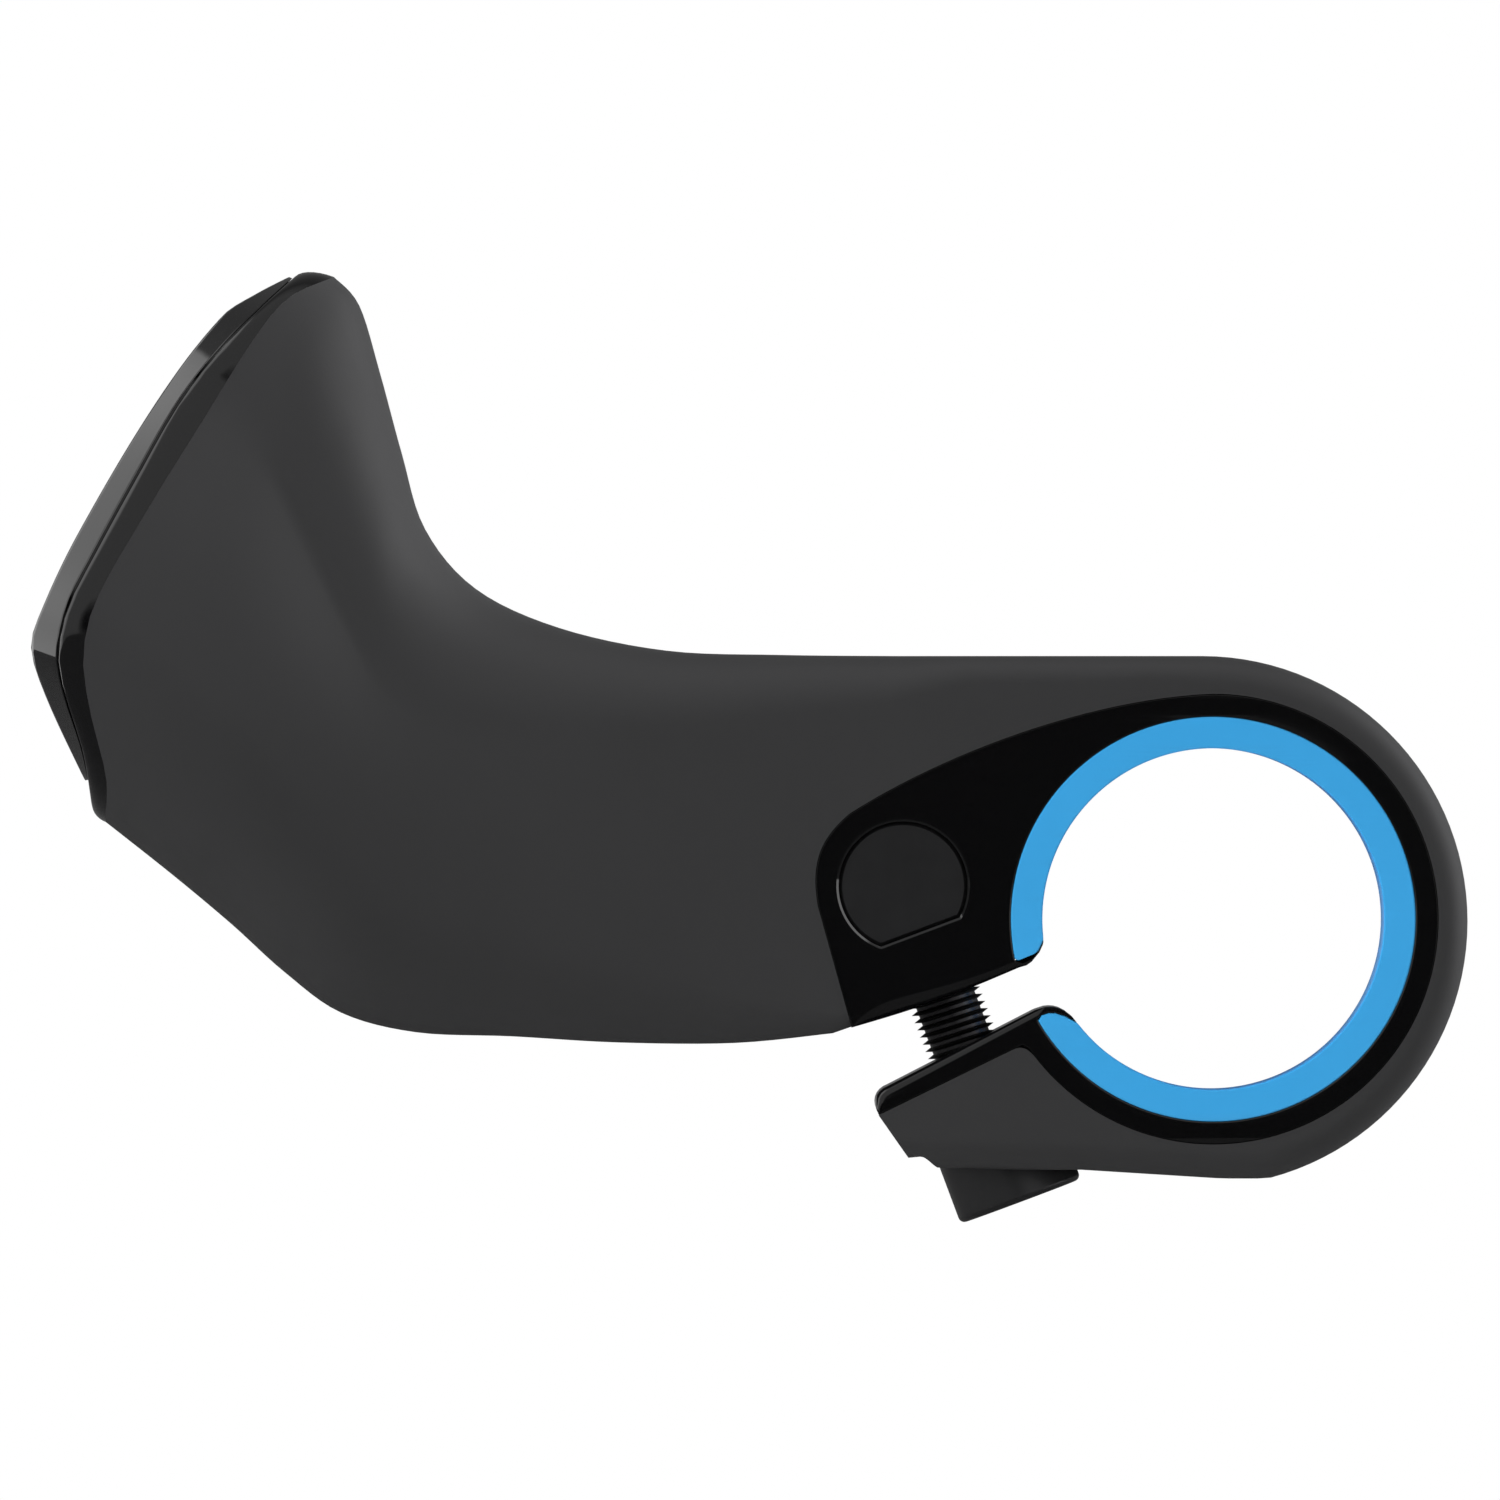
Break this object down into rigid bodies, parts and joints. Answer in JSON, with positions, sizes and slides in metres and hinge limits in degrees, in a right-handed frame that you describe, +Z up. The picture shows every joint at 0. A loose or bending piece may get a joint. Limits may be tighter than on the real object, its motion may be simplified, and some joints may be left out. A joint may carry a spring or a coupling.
{
  "type": "bicycle bar end",
  "caption": "Clamp-on ergonomic bicycle bar end: short upturned horn with a soft skin, a split clamp ring with a blue liner and a single clamp screw.",
  "frame": {"origin": "centre of the handlebar bore, halfway across the clamp's width", "axes": "+Y along the handlebar, +Z up, -X the way the horn points; the part is symmetric about Y = 0"},
  "size_m": [0.0934, 0.0256, 0.0616],
  "materials": {
    "core_black": "polished black moulding",
    "skin_rubber": "matte soft-touch",
    "liner_blue": "satin blue",
    "nut_steel": "black plated",
    "screw_steel": "black plated",
    "washer_steel": "zinc plated",
    "cap_black": "high-gloss black"
  },
  "bodies": {
    "frame": {"clamp_core": "core_black", "grip_skin": "skin_rubber", "bar_liner": "liner_blue", "barrel_nut": "nut_steel", "end_cap": "cap_black"},
    "washer": {"screw_washer": "washer_steel"},
    "screw": {"clamp_screw": "screw_steel"}
  },
  "joints": [
    {"name": "clamp_screw_travel", "type": "slide", "parent": "frame", "child": "washer", "axis": [0.3502, 0, -0.9367], "range_m": [0, 0.004]},
    {"name": "clamp_screw_turn", "type": "hinge", "parent": "washer", "child": "screw", "pos_m": [-0.02015, 0, 0.00215], "axis": [0.3502, 0, -0.9367], "range_deg": [0, 2884]}
  ],
  "couplings": [
    {"joint": "clamp_screw_turn", "follows": "clamp_screw_travel", "rad_per_m": 12566}
  ]
}
